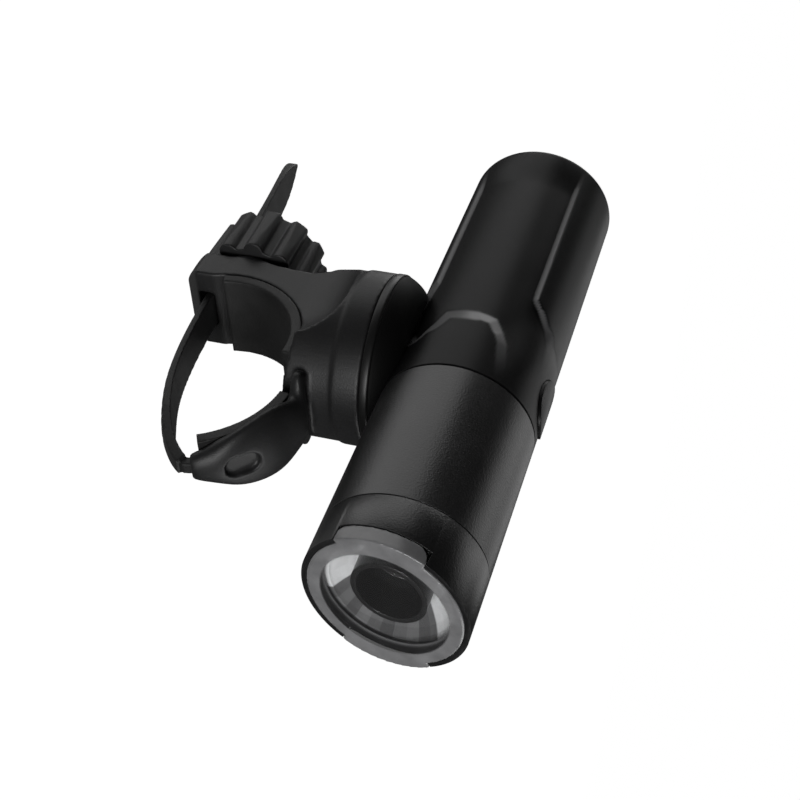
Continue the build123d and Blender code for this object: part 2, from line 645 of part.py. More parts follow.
with BuildPart() as strap:
    add(strap_band)
    for path, length, first, last in (
        (curve, bend_length, 3, int(bend_length / TOOTH_PITCH)),
        (tail, tail_length, 1, int(tail_length / TOOTH_PITCH) - 2),
    ):
        for i in range(first, last):
            along = i * TOOTH_PITCH / length
            here = Plane(origin=path @ along, x_dir=(1, 0, 0), z_dir=path % along)
            with BuildSketch(here):
                with Locations((0, crown - TOOTH_DEPTH + 1.0)):
                    Rectangle(10, 2.0)
            extrude(amount=TOOTH_PITCH / 2, mode=Mode.SUBTRACT)
    for i in range(9):
        y = 18.6 + i * TOOTH_PITCH
        with BuildSketch(section(y, z=NUT_Z)):
            Circle(9.6)
            Circle(BOSS_R - 0.05, mode=Mode.SUBTRACT)
            with Locations((0, -8.8)):
                Rectangle(20, 3.6)
        extrude(amount=TOOTH_PITCH / 2, mode=Mode.SUBTRACT)
    for side in (-1, 1):
        with BuildSketch(Plane.XY.offset(-15)):
            with BuildLine():
                tip = Spline(
                    (side * STRAP_HALF_X, STRAP_TIP_Y - 15),
                    (side * 3.0, STRAP_TIP_Y - 6.5),
                    (side * 0.3, STRAP_TIP_Y),
                )
                Polyline(tip @ 1, (side * 6, STRAP_TIP_Y + 1), (side * 6, STRAP_TIP_Y - 15), tip @ 0)
            make_face()
            with BuildLine():
                neck = Spline(
                    (side * STRAP_HALF_X, -16.5),
                    (side * 3.0, -22.0),
                    (side * 1.6, -28.5),
                )
                Polyline(neck @ 1, (side * 6, -32), (side * 6, -16.5), neck @ 0)
            make_face()
        extrude(amount=30, mode=Mode.SUBTRACT)
    with BuildSketch(Plane.YZ.offset(-1.25)):
        with Locations((-27.4, 5.2)):
            Circle(1.0)
        with Locations((PIN_Y, PIN_Z)):
            Circle(1.25)
        make_hull()
    extrude(amount=2.5)
    with Locations((0, PIN_Y, PIN_Z)):
        Cylinder(PIN_R + 0.02, 20, rotation=(0, 90, 0), mode=Mode.SUBTRACT)
strap.part.label = "strap"

# Pin that joins the strap to the arm
with BuildPart() as strap_pin:
    with Locations((0, PIN_Y, PIN_Z)):
        Cylinder(PIN_R, 6.0, rotation=(0, 90, 0))
strap_pin.part.label = "strap_pin"

# Thumb nut with lobed grip and ring teeth in its bore
with BuildPart() as dial_nut:
    with BuildSketch(section(NUT_FRONT_Y, z=NUT_Z)):
        Circle(10.7)
        with PolarLocations(10.35, NUT_LOBES, start_angle=4):
            Circle(2.1)
    extrude(amount=NUT_REAR_Y - NUT_FRONT_Y)
    with Locations((0, (NUT_FRONT_Y + NUT_REAR_Y) / 2, NUT_Z)):
        Cone(12.6, 12.0, NUT_REAR_Y - NUT_FRONT_Y, rotation=(-90, 0, 0), mode=Mode.INTERSECT)
    rod(BOSS_R + 0.05, NUT_FRONT_Y - 1, NUT_REAR_Y + 1, z=NUT_Z, mode=Mode.SUBTRACT)
    for i in range(6):
        y = 18.6 + TOOTH_PITCH * (i + 2) + TOOTH_PITCH / 2
        first = max(y - 0.15, NUT_FRONT_Y - 0.5)
        rod(NUT_ROOT_R, first, y + TOOTH_PITCH / 2 + 0.15, z=NUT_Z, mode=Mode.SUBTRACT)
dial_nut.part.label = "dial_nut"

# Flat-sided clip and screw that keep the nut on its boss
with BuildPart() as nut_clip:
    rod(9.0, NUT_REAR_Y + 0.12, NUT_REAR_Y + 1.0, z=NUT_Z)
    block(-10, 10, 30, 42, -14, STRAP_Z + 0.1, mode=Mode.SUBTRACT)
    rod(1.3, 30, 42, z=NUT_Z, mode=Mode.SUBTRACT)
nut_clip.part.label = "nut_clip"

with BuildPart() as clip_screw:
    rod(2.4, NUT_REAR_Y + 1.02, NUT_REAR_Y + 2.4, z=NUT_Z)
    rod(1.25, 30.4, NUT_REAR_Y + 1.1, z=NUT_Z)
    block(-3, 3, NUT_REAR_Y + 1.8, NUT_REAR_Y + 3, NUT_Z - 0.3, NUT_Z + 0.3, mode=Mode.SUBTRACT)
clip_screw.part.label = "clip_screw"

for piece in (
    front_bezel,
    lens_window,
    window_seal,
    reflector,
    optic_barrel,
    optic_lens,
    led_emitter,
    led_board,
    front_housing,
    driver_board,
    housing_seal,
    rear_housing,
    power_button,
    button_board,
    button_switch,
    cell_holder,
    battery_cell,
    front_contact,
    rear_contact,
    charge_board,
    charge_socket,
    end_cap,
    socket_cover,
    mount_foot,
    swivel_plate,
    foot_screws,
    pivot_screw,
    friction_ring,
    clamp_base,
    saddle_pad,
    arm_pad,
    strap,
    strap_pin,
    dial_nut,
    nut_clip,
    clip_screw,
):
    export_step(piece.part, f"parts/{piece.part.label}.step")
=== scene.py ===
"""Bicycle headlight on a strap clamp: the looks of its CAD frame, with floor, lamps and camera."""

import json
import math

import bmesh
import bpy
from mathutils import Euler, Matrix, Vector

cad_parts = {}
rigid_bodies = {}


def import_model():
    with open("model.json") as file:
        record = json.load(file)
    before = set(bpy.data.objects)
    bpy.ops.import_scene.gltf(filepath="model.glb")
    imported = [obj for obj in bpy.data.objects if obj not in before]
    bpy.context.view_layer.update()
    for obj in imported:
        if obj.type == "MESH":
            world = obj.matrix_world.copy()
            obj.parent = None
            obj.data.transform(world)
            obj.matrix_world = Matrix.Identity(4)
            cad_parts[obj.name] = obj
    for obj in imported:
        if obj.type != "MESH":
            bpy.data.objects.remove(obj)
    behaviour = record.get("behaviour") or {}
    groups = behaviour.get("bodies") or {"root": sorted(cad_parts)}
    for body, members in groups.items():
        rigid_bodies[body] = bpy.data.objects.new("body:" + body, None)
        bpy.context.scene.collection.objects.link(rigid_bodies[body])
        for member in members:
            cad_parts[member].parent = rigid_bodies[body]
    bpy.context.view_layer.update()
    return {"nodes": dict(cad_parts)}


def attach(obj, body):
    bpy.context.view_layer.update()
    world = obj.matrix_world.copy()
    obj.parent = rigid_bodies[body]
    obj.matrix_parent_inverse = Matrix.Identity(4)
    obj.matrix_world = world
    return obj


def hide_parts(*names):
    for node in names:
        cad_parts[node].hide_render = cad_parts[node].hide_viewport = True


bl_info = {
    "name": "Bicycle Headlight",
    "version": (1, 0, 0),
    "blender": (4, 5, 0),
    "location": "View3D > Sidebar > Headlight",
    "description": "Builds a bicycle headlight on its strap clamp round a packed CAD frame",
    "category": "Add Mesh",
}

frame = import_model()
nodes = frame["nodes"]
MM = 0.001


# Settings


def length(name, description, millimetres):
    size = millimetres * MM
    return bpy.props.FloatProperty(name=name, description=description, default=size, unit="LENGTH")


def colour(name, description, *rgb):
    return bpy.props.FloatVectorProperty(name=name, description=description, default=rgb, subtype="COLOR")


class BodySettings(bpy.types.PropertyGroup):
    """Sizes of the round body and its optics."""

    axis_height: length("Axis height", "Height of the body's axis over the bar's", 51.1)
    radius: length("Radius", "Outer radius", 15.5)
    front_face: length("Front face", "Y of the raked front face at the axis", -49.4)
    rake: bpy.props.FloatProperty(name="Rake", description="Lean of the front face", default=0.111)
    parting: length("Parting", "Y where the rear half's outside begins", -4.56)
    spigot_end: length("Spigot end", "Y of the front end of the rear half's spigot", -8.8)
    spigot_radius: length("Spigot radius", "Radius of the spigot inside the front half", 14.2)
    bore_radius: length("Bore radius", "Radius of the bore for the cell", 12.65)
    rear_end: length("Rear end", "Y of the rear end", 69.4)
    recess_depth: length("Recess depth", "Depth of the side panels", 0.8)
    rear_round: length("Rear round", "Rounding of the rear rim", 1.3)
    tab_reach: length("Tab reach", "How far back the window's tabs go from the front face", 2.9)
    tab_half: length("Tab half", "Half the length of a tab round the body", 8.74)
    tab_corner: length("Tab corner", "Radius of a tab's corners", 2.2)
    facets: bpy.props.IntProperty(name="Facets", description="Facets round the reflector", default=30)
    shell_steps: bpy.props.IntProperty(name="Shell steps", description="Faces round the shell", default=250)


class BracketSettings(bpy.types.PropertyGroup):
    """How softly the moulded pieces are rounded."""

    clamp_grid: length("Clamp grid", "Grid size used to round the clamp", 0.36)
    small_grid: length("Small grid", "Grid size for the nut and strap", 0.22)
    rounds: bpy.props.IntProperty(name="Rounds", description="Smoothing steps", default=5)


class FinishSettings(bpy.types.PropertyGroup):
    """Base colours of the finishes."""

    blasted: colour("Blasted", "Textured front half", 0.007, 0.007, 0.0073)
    smooth: colour("Smooth", "Smooth rear half", 0.0038, 0.0038, 0.004)
    # Lighter grey painted on the side panels' slopes: a painted highlight
    painted_slope_highlight: colour("Painted slope highlight", "Sloped edges of the side panels", 0.11, 0.11, 0.112)
    plastic: colour("Plastic", "Moulded clamp", 0.008, 0.008, 0.0083)
    rubber: colour("Rubber", "Pads and strap", 0.0035, 0.0035, 0.0035)


class StageSettings(bpy.types.PropertyGroup):
    """Camera, floor and lamps."""

    camera_place: bpy.props.FloatVectorProperty(
        name="Camera place",
        description="Where the camera stands",
        default=(-0.18922, -0.19591, 0.10643),
        subtype="TRANSLATION",
        unit="LENGTH",
    )
    camera_turn: bpy.props.FloatVectorProperty(
        name="Camera turn",
        description="The camera's rotation about X, Y and Z",
        default=(math.radians(-35.257), math.radians(-72.816), math.radians(82.497)),
        subtype="EULER",
    )
    lens: bpy.props.FloatProperty(name="Lens", description="Focal length in millimetres", default=65.0)
    floor_height: length("Floor height", "Height of the floor", -900)
    surround: bpy.props.FloatProperty(
        name="Surround", description="Brightness of the room as the surfaces see it", default=0.02
    )


# Shader maths


class Sock:
    """A shader socket or number whose arithmetic adds Math nodes."""

    def __init__(self, graph, value):
        self.graph = graph
        self.value = value

    def _math(self, operation, a, b=None):
        values = {0: a} if b is None else {0: a, 1: b}
        return self.graph.node("ShaderNodeMath", {"operation": operation}, values)["Value"]

    def __add__(self, other):
        return self._math("ADD", self, other)

    __radd__ = __add__

    def __sub__(self, other):
        return self._math("SUBTRACT", self, other)

    def __rsub__(self, other):
        return self._math("SUBTRACT", other, self)

    def __mul__(self, other):
        return self._math("MULTIPLY", self, other)

    __rmul__ = __mul__

    def arctan2(self, other):
        return self._math("ARCTAN2", self, other)

    def floor(self):
        return self._math("FLOOR", self)

    def root(self):
        return self._math("SQRT", self)

    def clamp(self, low=0.0, high=1.0):
        return self._math("MINIMUM", self._math("MAXIMUM", self, low), high)

    def smooth(self, low, high):
        """0 below low, 1 above high, smooth between."""
        values = {"Value": self, "From Min": low, "From Max": high}
        return self.graph.node("ShaderNodeMapRange", {"interpolation_type": "SMOOTHSTEP"}, values)["Result"]


class Graph:
    """One material's or world's nodes, started from nothing."""

    def __init__(self, name, kind="material"):
        if kind == "world":
            self.owner = bpy.data.worlds.new(name)
        else:
            self.owner = bpy.data.materials.new(name)
        self.owner.use_nodes = True
        self.tree = self.owner.node_tree
        self.tree.nodes.clear()
        self.output = self.tree.nodes.new(f"ShaderNodeOutput{kind.title()}")

    def node(self, kind, settings=None, values=None):
        """Adds a node and returns its outputs as Socks by name."""
        made = self.tree.nodes.new(kind)
        for key, value in (settings or {}).items():
            setattr(made, key, value)
        for key, value in (values or {}).items():
            socket = made.inputs[key]
            if isinstance(value, Sock):
                self.tree.links.new(value.value, socket)
            else:
                socket.default_value = value
        return {o.name: Sock(self, o) for o in made.outputs if o.enabled}

    def finish(self, surface):
        self.tree.links.new(surface.value, self.output.inputs["Surface"])
        return self.owner

    def coordinates(self):
        return self.node("ShaderNodeTexCoord")["Object"]

    def principled(self, **values):
        """The surface shader, joined to the output. Keys are socket names with _ for a space."""
        sockets = {key.replace("_", " "): value for key, value in values.items()}
        return self.finish(self.node("ShaderNodeBsdfPrincipled", None, sockets)["BSDF"])


def noise(graph, place, scale, detail=3.0, roughness=0.5):
    """Noise between 0 and 1 at so many cells a metre."""
    values = {"Vector": place, "Scale": scale, "Detail": detail, "Roughness": roughness}
    return graph.node("ShaderNodeTexNoise", None, values)["Fac"]


def pits(graph, place, scale):
    """Distance to the nearest of many scattered points, as in a blasted or moulded texture."""
    return graph.node("ShaderNodeTexVoronoi", None, {"Vector": place, "Scale": scale})["Distance"]


def bump(graph, height, distance):
    return graph.node("ShaderNodeBump", None, {"Height": height, "Distance": distance})["Normal"]


def blend_colours(graph, mask, a, b):
    """The first colour where the mask is 0 and the second where it is 1. A colour is RGB or a Sock."""
    first, second = (c if isinstance(c, Sock) else (*c, 1) for c in (a, b))
    # Sockets 6 and 7 of a Mix node are its two colours
    values = {"Factor": mask, 6: first, 7: second}
    return graph.node("ShaderNodeMix", {"data_type": "RGBA"}, values)["Result"]


def plain_finish(name, base, roughness, grain, depth, specular, speckle, painted_slope_highlight=None, metallic=0.0):
    """A moulded or coated finish: fine pitted grain, faint cloudiness in colour and gloss.

    Grain is in cells a metre and its depth in millimetres. Speckle is how far the colour varies.
    With a painted slope highlight colour, the attribute slope says where that lighter grey is painted on as
    a highlight, and a coat adds gloss there.
    """
    g = Graph(name)
    place = g.coordinates()
    fine = noise(g, place, grain, 2.0)
    dots = pits(g, place, grain * 0.8)
    cloud = noise(g, place, 90.0, 3.0)
    darker = tuple(c * (1 - speckle) for c in base)
    lighter = tuple(min(1.0, c * (1 + speckle) + 0.002 * speckle) for c in base)
    tone = blend_colours(g, (cloud * 0.5 + fine * 0.5).smooth(0.3, 0.7), darker, lighter)
    coat = {}
    if painted_slope_highlight is not None:
        slope = g.node("ShaderNodeAttribute", {"attribute_name": "slope"})["Fac"]
        # Painted highlight: the panel slopes turn lighter grey, with a coat for gloss
        tone = blend_colours(g, slope, tone, painted_slope_highlight)
        coat = {"Coat_Weight": slope * 0.35, "Coat_Roughness": 0.3}
    return g.principled(
        Base_Color=tone,
        Roughness=(roughness + (cloud - 0.5) * 0.08 + (fine - 0.5) * 0.1).clamp(0.04, 1.0),
        Specular_IOR_Level=specular,
        Metallic=metallic,
        Normal=bump(g, fine * 0.6 + dots * 0.4, depth * MM),
        **coat,
    )


def rubber_finish(name, base, roughness):
    """Rubber: fine grain and a dull bloom that varies over the piece."""
    g = Graph(name)
    place = g.coordinates()
    grain = noise(g, place, 3500.0, 2.0)
    bloom = noise(g, place, 160.0, 4.0, 0.6)
    dull = tuple(c * 1.6 + 0.001 for c in base)
    return g.principled(
        Base_Color=blend_colours(g, bloom.smooth(0.35, 0.75), base, dull),
        Roughness=(roughness + (bloom - 0.5) * 0.2).clamp(0.2, 1.0),
        Specular_IOR_Level=0.35,
        Normal=bump(g, grain, 0.03 * MM),
    )


def mirror_finish(name, axis_height, facets):
    """A faceted silver reflector with painted reflections: its two sides painted bright silver, the facets
    between them a darker silver of painted shade, a little lighter or darker facet by facet at random.
    """
    g = Graph(name)
    place = g.coordinates()
    parts = g.node("ShaderNodeSeparateXYZ", None, {"Vector": place})
    # Radians round the axis, 0 towards -X and growing upwards
    turn = (parts["Z"] - axis_height).arctan2(parts["X"] * -1.0)
    facet = (turn * (facets / math.tau)).floor()
    step = g.node("ShaderNodeTexWhiteNoise", {"noise_dimensions": "1D"}, {"W": facet})["Value"]
    # Painted reflections: the two sides where the lamps' reflections are painted bright
    right_reflection = turn.smooth(0.7, 0.75) * (1.0 - turn.smooth(2.35, 2.4))
    left_reflection = turn.smooth(-1.9, -1.85) * (1.0 - turn.smooth(0.0, 0.05))
    shine = (right_reflection + left_reflection + step * 0.2).clamp()
    haze = noise(g, place, 1200.0, 3.0)
    # The darker silver is painted shade, the bright one a painted reflection
    shaded_silver, lit_silver = (0.1, 0.1, 0.102), (0.86, 0.87, 0.88)
    return g.principled(
        Base_Color=blend_colours(g, shine * (0.85 + haze * 0.15), shaded_silver, lit_silver),
        Metallic=0.05,
        Roughness=(0.28 + haze * 0.14).clamp(0.05, 0.6),
        Normal=bump(g, noise(g, place, 420.0, 2.0), 0.08 * MM),
    )


def clear_finish(name, axis_height, grey_from):
    """Clear moulding, grey and less clear outward of a set radius round its rim, with a few dust specks."""
    g = Graph(name)
    place = g.coordinates()
    parts = g.node("ShaderNodeSeparateXYZ", None, {"Vector": place})
    across, height = parts["X"], parts["Z"] - axis_height
    radius = (across * across + height * height).root()
    outer_band = radius.smooth(grey_from, grey_from + 0.5 * MM)
    cloud = noise(g, place, 300.0, 3.0)
    dust = noise(g, place, 5200.0, 2.0).smooth(0.7, 0.8)
    clear_tint, rim_grey = (0.09, 0.09, 0.092), (0.22, 0.22, 0.225)
    return g.principled(
        Base_Color=blend_colours(g, cloud * outer_band, clear_tint, rim_grey),
        Roughness=(0.06 + dust * 0.4 + outer_band * 0.2).clamp(0.0, 1.0),
        Alpha=(0.06 + outer_band * 0.86 + dust * 0.1).clamp(),
        IOR=1.49,
        Normal=bump(g, noise(g, place, 60.0, 2.0), 0.01 * MM),
    )


def emitter_finish(name):
    """Grainy yellow phosphor."""
    g = Graph(name)
    grain = noise(g, g.coordinates(), 9000.0, 2.0)
    amber, yellow = (0.75, 0.58, 0.12), (0.9, 0.78, 0.3)
    return g.principled(
        Base_Color=blend_colours(g, grain, amber, yellow),
        Roughness=(0.5 + grain * 0.2).clamp(),
        Normal=bump(g, grain, 0.01 * MM),
    )


# Mesh helpers


def new_piece(name, shape, body, *replaced):
    """Makes an object from bmesh data, riding on a body in place of CAD nodes."""
    mesh = bpy.data.meshes.new(name)
    shape.to_mesh(mesh)
    shape.free()
    piece = bpy.data.objects.new(name, mesh)
    bpy.context.scene.collection.objects.link(piece)
    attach(piece, body)
    if replaced:
        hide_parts(*replaced)
    return piece


def settle(piece, sharp_angle=35.0):
    """Applies the modifiers and shades smooth up to an angle."""
    graph = bpy.context.evaluated_depsgraph_get()
    mesh = bpy.data.meshes.new_from_object(piece.evaluated_get(graph))
    piece.modifiers.clear()
    piece.data = mesh
    mesh.shade_smooth()
    mesh.set_sharp_from_angle(angle=math.radians(sharp_angle))
    return piece


def merged_copy(name, suffix, body):
    """A twin of a CAD node whose loose triangles are joined up. It replaces the node."""
    shape = bmesh.new()
    shape.from_mesh(nodes[name].data)
    bmesh.ops.remove_doubles(shape, verts=shape.verts, dist=0.005 * MM)
    bmesh.ops.dissolve_limit(shape, angle_limit=math.radians(0.5), verts=shape.verts, edges=shape.edges)
    bmesh.ops.recalc_face_normals(shape, faces=shape.faces)
    return new_piece(name + suffix, shape, body, name)


def softened(name, body, grid, rounds, keep):
    """A moulded twin of a CAD node, its edges rounded by remeshing and smoothing.

    It is remeshed to the grid, smoothed so many rounds and thinned to the share of faces to keep.
    """
    piece = merged_copy(name, "_moulded", body)
    even = piece.modifiers.new("even_grid", "REMESH")
    even.mode = "VOXEL"
    even.voxel_size = grid
    smooth = piece.modifiers.new("rounded", "SMOOTH")
    smooth.factor = 0.5
    smooth.iterations = rounds
    fewer = piece.modifiers.new("fewer_faces", "DECIMATE")
    fewer.ratio = keep
    return settle(piece, 70.0)


def broken_edges(name, body, width, segments=2):
    """A twin of a CAD node with its sharp edges bevelled."""
    piece = merged_copy(name, "_edged", body)
    bevel = piece.modifiers.new("edge_break", "BEVEL")
    bevel.width = width
    bevel.segments = segments
    bevel.limit_method = "ANGLE"
    bevel.angle_limit = math.radians(38)
    return settle(piece)


def spun(profile, steps, height):
    """A closed shell spun about the body's axis, at that height, from (y, radius) points."""
    shape = bmesh.new()
    corners = [shape.verts.new((0, y, r)) for y, r in profile]
    rim = [shape.edges.new((a, b)) for a, b in zip(corners, corners[1:] + corners[:1])]
    bmesh.ops.spin(
        shape,
        geom=corners + rim,
        cent=(0, 0, 0),
        axis=(0, 1, 0),
        angle=math.tau,
        steps=steps,
        use_merge=True,
    )
    bmesh.ops.translate(shape, verts=shape.verts, vec=(0, 0, height))
    bmesh.ops.recalc_face_normals(shape, faces=shape.faces)
    return shape


def run(start, end, radius, step):
    """Points of a profile at one radius, so far apart, without the last."""
    count = max(1, round(abs(end - start) / step))
    return [(start + (end - start) * i / count, radius) for i in range(count)]


def ramp(share):
    """0 to 1, clamped, with soft ends."""
    share = min(1.0, max(0.0, share))
    return share * share * (3 - 2 * share)


# Side panel: the recess's inner edge seen from the side as (y, z) in millimetres, and
# how far the slope outside the run from there to the next point spreads. The front end
# lies under the button's fade and the rear end behind the rear rim.
PANEL_EDGE = (
    (76.0, 60.1, 0.6),
    (21.8, 60.2, 0.7),
    (19.7, 61.9, 1.1),
    (17.0, 63.6, 1.6),
    (14.0, 64.4, 2.4),
    (-3.0, 65.0, 2.4),
    (-3.0, 60.5, 2.4),
    (5.9, 58.8, 2.4),
    (9.1, 57.3, 2.8),
    (12.0, 55.4, 3.2),
    (12.7, 51.1, 3.8),
    (12.9, 44.4, 3.8),
    (9.5, 42.4, 2.8),
    (6.9, 40.1, 2.4),
    (10.5, 38.2, 2.4),
    (20.6, 38.0, 2.4),
    (25.0, 39.4, 0.9),
    (76.0, 39.4, 0.7),
)


# The panel fades out towards the button, along a slanting line, and before the rear rim
BUTTON_FADE_LEAN = 1.6
BUTTON_FADE_Y = -6.0
BUTTON_FADE_Z = 58.0
BUTTON_FADE_WIDTH = 20.0
REAR_FADE_Y = 68.5
REAR_FADE_WIDTH = 11.0
# Heights between which the upper slope runs straight to the rear, its painted highlight half as strong as
# the rest
STRAIGHT_SLOPE_Z = (59.5, 60.6)


def panel_share(y, z):
    """How deep the side panel is at (y, z) in millimetres and how strong the painted highlight on its slope
    is, both 0 to 1.
    """
    inside = False
    nearest = 1.0
    for (ay, az, spread), (by, bz, _) in zip(PANEL_EDGE, PANEL_EDGE[1:] + PANEL_EDGE[:1]):
        # Each crossing of a level line from the point swaps inside and outside
        if (az > z) != (bz > z) and y < (by - ay) * (z - az) / (bz - az) + ay:
            inside = not inside
        squared = (by - ay) ** 2 + (bz - az) ** 2
        along = min(1.0, max(0.0, ((y - ay) * (by - ay) + (z - az) * (bz - az)) / squared))
        away = math.hypot(y - ay - along * (by - ay), z - az - along * (bz - az))
        nearest = min(nearest, away / spread)
    share = 1.0 if inside else 1.0 - nearest
    from_button = y - BUTTON_FADE_Y - BUTTON_FADE_LEAN * (z - BUTTON_FADE_Z)
    fade = ramp(from_button / BUTTON_FADE_WIDTH) * ramp((REAR_FADE_Y - y) / REAR_FADE_WIDTH)
    # Painted highlight along the panel's slope, strongest halfway across it, faded like the recess
    painted_slope_highlight = min(1.0, 6.0 * share * (1.0 - share)) * fade
    # Weaker painted highlight on the straight upper run
    if STRAIGHT_SLOPE_Z[0] < z < STRAIGHT_SLOPE_Z[1]:
        painted_slope_highlight *= 0.5
    return share * fade, painted_slope_highlight


# The button's opening: half its size along X and Y, and the Y of its centre
OPENING_HALF_X = 5.45 * MM
OPENING_HALF_Y = 6.35 * MM
OPENING_Y = 4.35 * MM
OPENING_FLOOR_Z = 60 * MM
OPENING_HEIGHT = 12 * MM


def button_opening():
    """An upright oval column that cuts the button's opening into the top of the shell."""
    shape = bmesh.new()
    bmesh.ops.create_circle(shape, cap_ends=True, segments=64, radius=1.0)
    bmesh.ops.scale(shape, verts=shape.verts, vec=(OPENING_HALF_X, OPENING_HALF_Y, 1.0))
    bmesh.ops.translate(shape, verts=shape.verts, vec=(0, OPENING_Y, OPENING_FLOOR_Z))
    lid = bmesh.ops.extrude_face_region(shape, geom=shape.faces[:])
    moved = [item for item in lid["geom"] if isinstance(item, bmesh.types.BMVert)]
    bmesh.ops.translate(shape, verts=moved, vec=(0, 0, OPENING_HEIGHT))
    bmesh.ops.recalc_face_normals(shape, faces=shape.faces)
    mesh = bpy.data.meshes.new("button_opening")
    shape.to_mesh(mesh)
    shape.free()
    opening = bpy.data.objects.new("button_opening", mesh)
    bpy.context.scene.collection.objects.link(opening)
    return opening


class HEADLIGHT_OT_rear_shell(bpy.types.Operator):
    """Smooth rear half with its sloped side panels and button opening"""

    bl_idname = "headlight.rear_shell"
    bl_label = "Rear shell"

    def execute(self, context):
        s = context.scene.headlight_body
        front, rear, outer, round_in = s.parting, s.rear_end, s.radius, s.rear_round
        coarse, fine, chamfer = 2 * MM, 0.42 * MM, 0.25 * MM
        profile = run(s.spigot_end, front, s.spigot_radius, coarse)
        profile += [(front, s.spigot_radius), (front, outer - chamfer)]
        profile += run(front + chamfer, rear - round_in, outer, fine)
        profile += [
            (rear - round_in * (1 - math.sin(turn)), outer - round_in * (1 - math.cos(turn)))
            for turn in (math.radians(degrees) for degrees in range(0, 91, 10))
        ]
        profile += [(rear, s.bore_radius), (s.spigot_end, s.bore_radius)]
        shape = spun(profile, s.shell_steps, s.axis_height)
        slope = shape.verts.layers.float.new("slope")
        for vert in shape.verts:
            y, x, z = vert.co.y, vert.co.x, vert.co.z - s.axis_height
            radius = math.hypot(x, z)
            # Only the outside of the shell behind its front edge
            if radius > s.spigot_radius - 0.8 * MM and y > front + 0.2 * MM:
                # The slope attribute takes the strength of the painted highlight
                share, vert[slope] = panel_share(y / MM, vert.co.z / MM)
                floor = outer - s.recess_depth * share
                if radius > floor:
                    vert.co.x = x * floor / radius
                    vert.co.z = z * floor / radius + s.axis_height
        shell = new_piece("rear_shell", shape, "light", "rear_housing")
        opening = button_opening()
        hole = shell.modifiers.new("opening", "BOOLEAN")
        hole.object = opening
        hole.operation = "DIFFERENCE"
        hole.solver = "EXACT"
        settle(shell, 30.0)
        bpy.data.objects.remove(opening)
        return {"FINISHED"}


# The reflector's section as (y, radius) in millimetres: round its outside to the dish's
# rim, down the dish to its throat and back inside. The raked cut takes off its front.
DISH = (
    (-33.0, 13.1),
    (-53.0, 13.1),
    (-49.6, 12.95),
    (-48.0, 12.6),
    (-46.4, 12.0),
    (-44.9, 11.1),
    (-43.6, 10.0),
    (-42.4, 8.8),
    (-41.5, 7.65),
    (-41.5, 7.2),
    (-33.0, 7.2),
)
# How far behind the front face the dish begins, along the rake
DISH_SETBACK = 2.85 * MM
# Radii between which the window turns from disc to tab
TAB_FROM = 13.9 * MM
TAB_FULL = 14.7 * MM
# Both tabs are centred a little below the axis
TAB_CENTRE = math.radians(-1.5)


def round_tabs(window, s, face, rake):
    """Draws the corners of the window's side tabs in to a radius."""
    for vert in window.data.vertices:
        x, z = vert.co.x, vert.co.z - s.axis_height
        outer = min(1.0, max(0.0, (math.hypot(x, z) - TAB_FROM) / (TAB_FULL - TAB_FROM)))
        along = abs(math.atan2(z, abs(x)) - TAB_CENTRE) * s.radius
        over = min(along - s.tab_half + s.tab_corner, s.tab_corner)
        if over > 0 and outer > 0:
            limit = s.tab_reach - s.tab_corner + math.sqrt(s.tab_corner**2 - over**2)
            vert.co += rake * ((vert.co - face).dot(rake) * (limit / s.tab_reach - 1) * outer)


class HEADLIGHT_OT_front(bpy.types.Operator):
    """Front rings with broken edges, the window and the faceted reflector"""

    bl_idname = "headlight.front"
    bl_label = "Front"

    def execute(self, context):
        s = context.scene.headlight_body
        rake = Vector((0, 1, s.rake)).normalized()
        face = Vector((0, s.front_face, s.axis_height))
        broken_edges("front_bezel", "light", 0.16 * MM)
        window = softened("lens_window", "light", 0.17 * MM, rounds=11, keep=0.3)
        round_tabs(window, s, face, rake)
        broken_edges("optic_barrel", "light", 0.15 * MM)
        broken_edges("power_button", "button", 0.3 * MM, segments=3)
        shape = spun([(y * MM, r * MM) for y, r in DISH], s.facets, s.axis_height)
        cut = bmesh.ops.bisect_plane(
            shape,
            geom=shape.verts[:] + shape.edges[:] + shape.faces[:],
            plane_co=face + rake * DISH_SETBACK,
            plane_no=rake,
            clear_inner=True,
        )
        rim = [item for item in cut["geom_cut"] if isinstance(item, bmesh.types.BMEdge)]
        bmesh.ops.bridge_loops(shape, edges=rim)
        bmesh.ops.recalc_face_normals(shape, faces=shape.faces)
        new_piece("reflector_dish", shape, "light", "reflector")
        return {"FINISHED"}


class HEADLIGHT_OT_bracket(bpy.types.Operator):
    """Clamp, pads, thumb nut and strap with moulded edges"""

    bl_idname = "headlight.bracket"
    bl_label = "Bracket"

    def execute(self, context):
        s = context.scene.headlight_bracket
        softened("clamp_base", "clamp", s.clamp_grid, s.rounds, keep=0.3)
        softened("dial_nut", "dial", s.small_grid, s.rounds, keep=0.35)
        softened("strap", "clamp", s.small_grid, rounds=3, keep=0.4)
        softened("saddle_pad", "clamp", 0.3 * MM, rounds=2, keep=0.3)
        softened("arm_pad", "clamp", 0.16 * MM, rounds=2, keep=0.4)
        broken_edges("swivel_plate", "light", 0.2 * MM)
        broken_edges("mount_foot", "light", 0.4 * MM, segments=3)
        return {"FINISHED"}


def dress(material, *names):
    """Puts a material on the pieces and CAD nodes of these names and on their twins."""
    for name in names:
        for item in bpy.data.objects:
            if item.type == "MESH" and item.name in (name, name + "_moulded", name + "_edged"):
                item.data.materials.clear()
                item.data.materials.append(material)


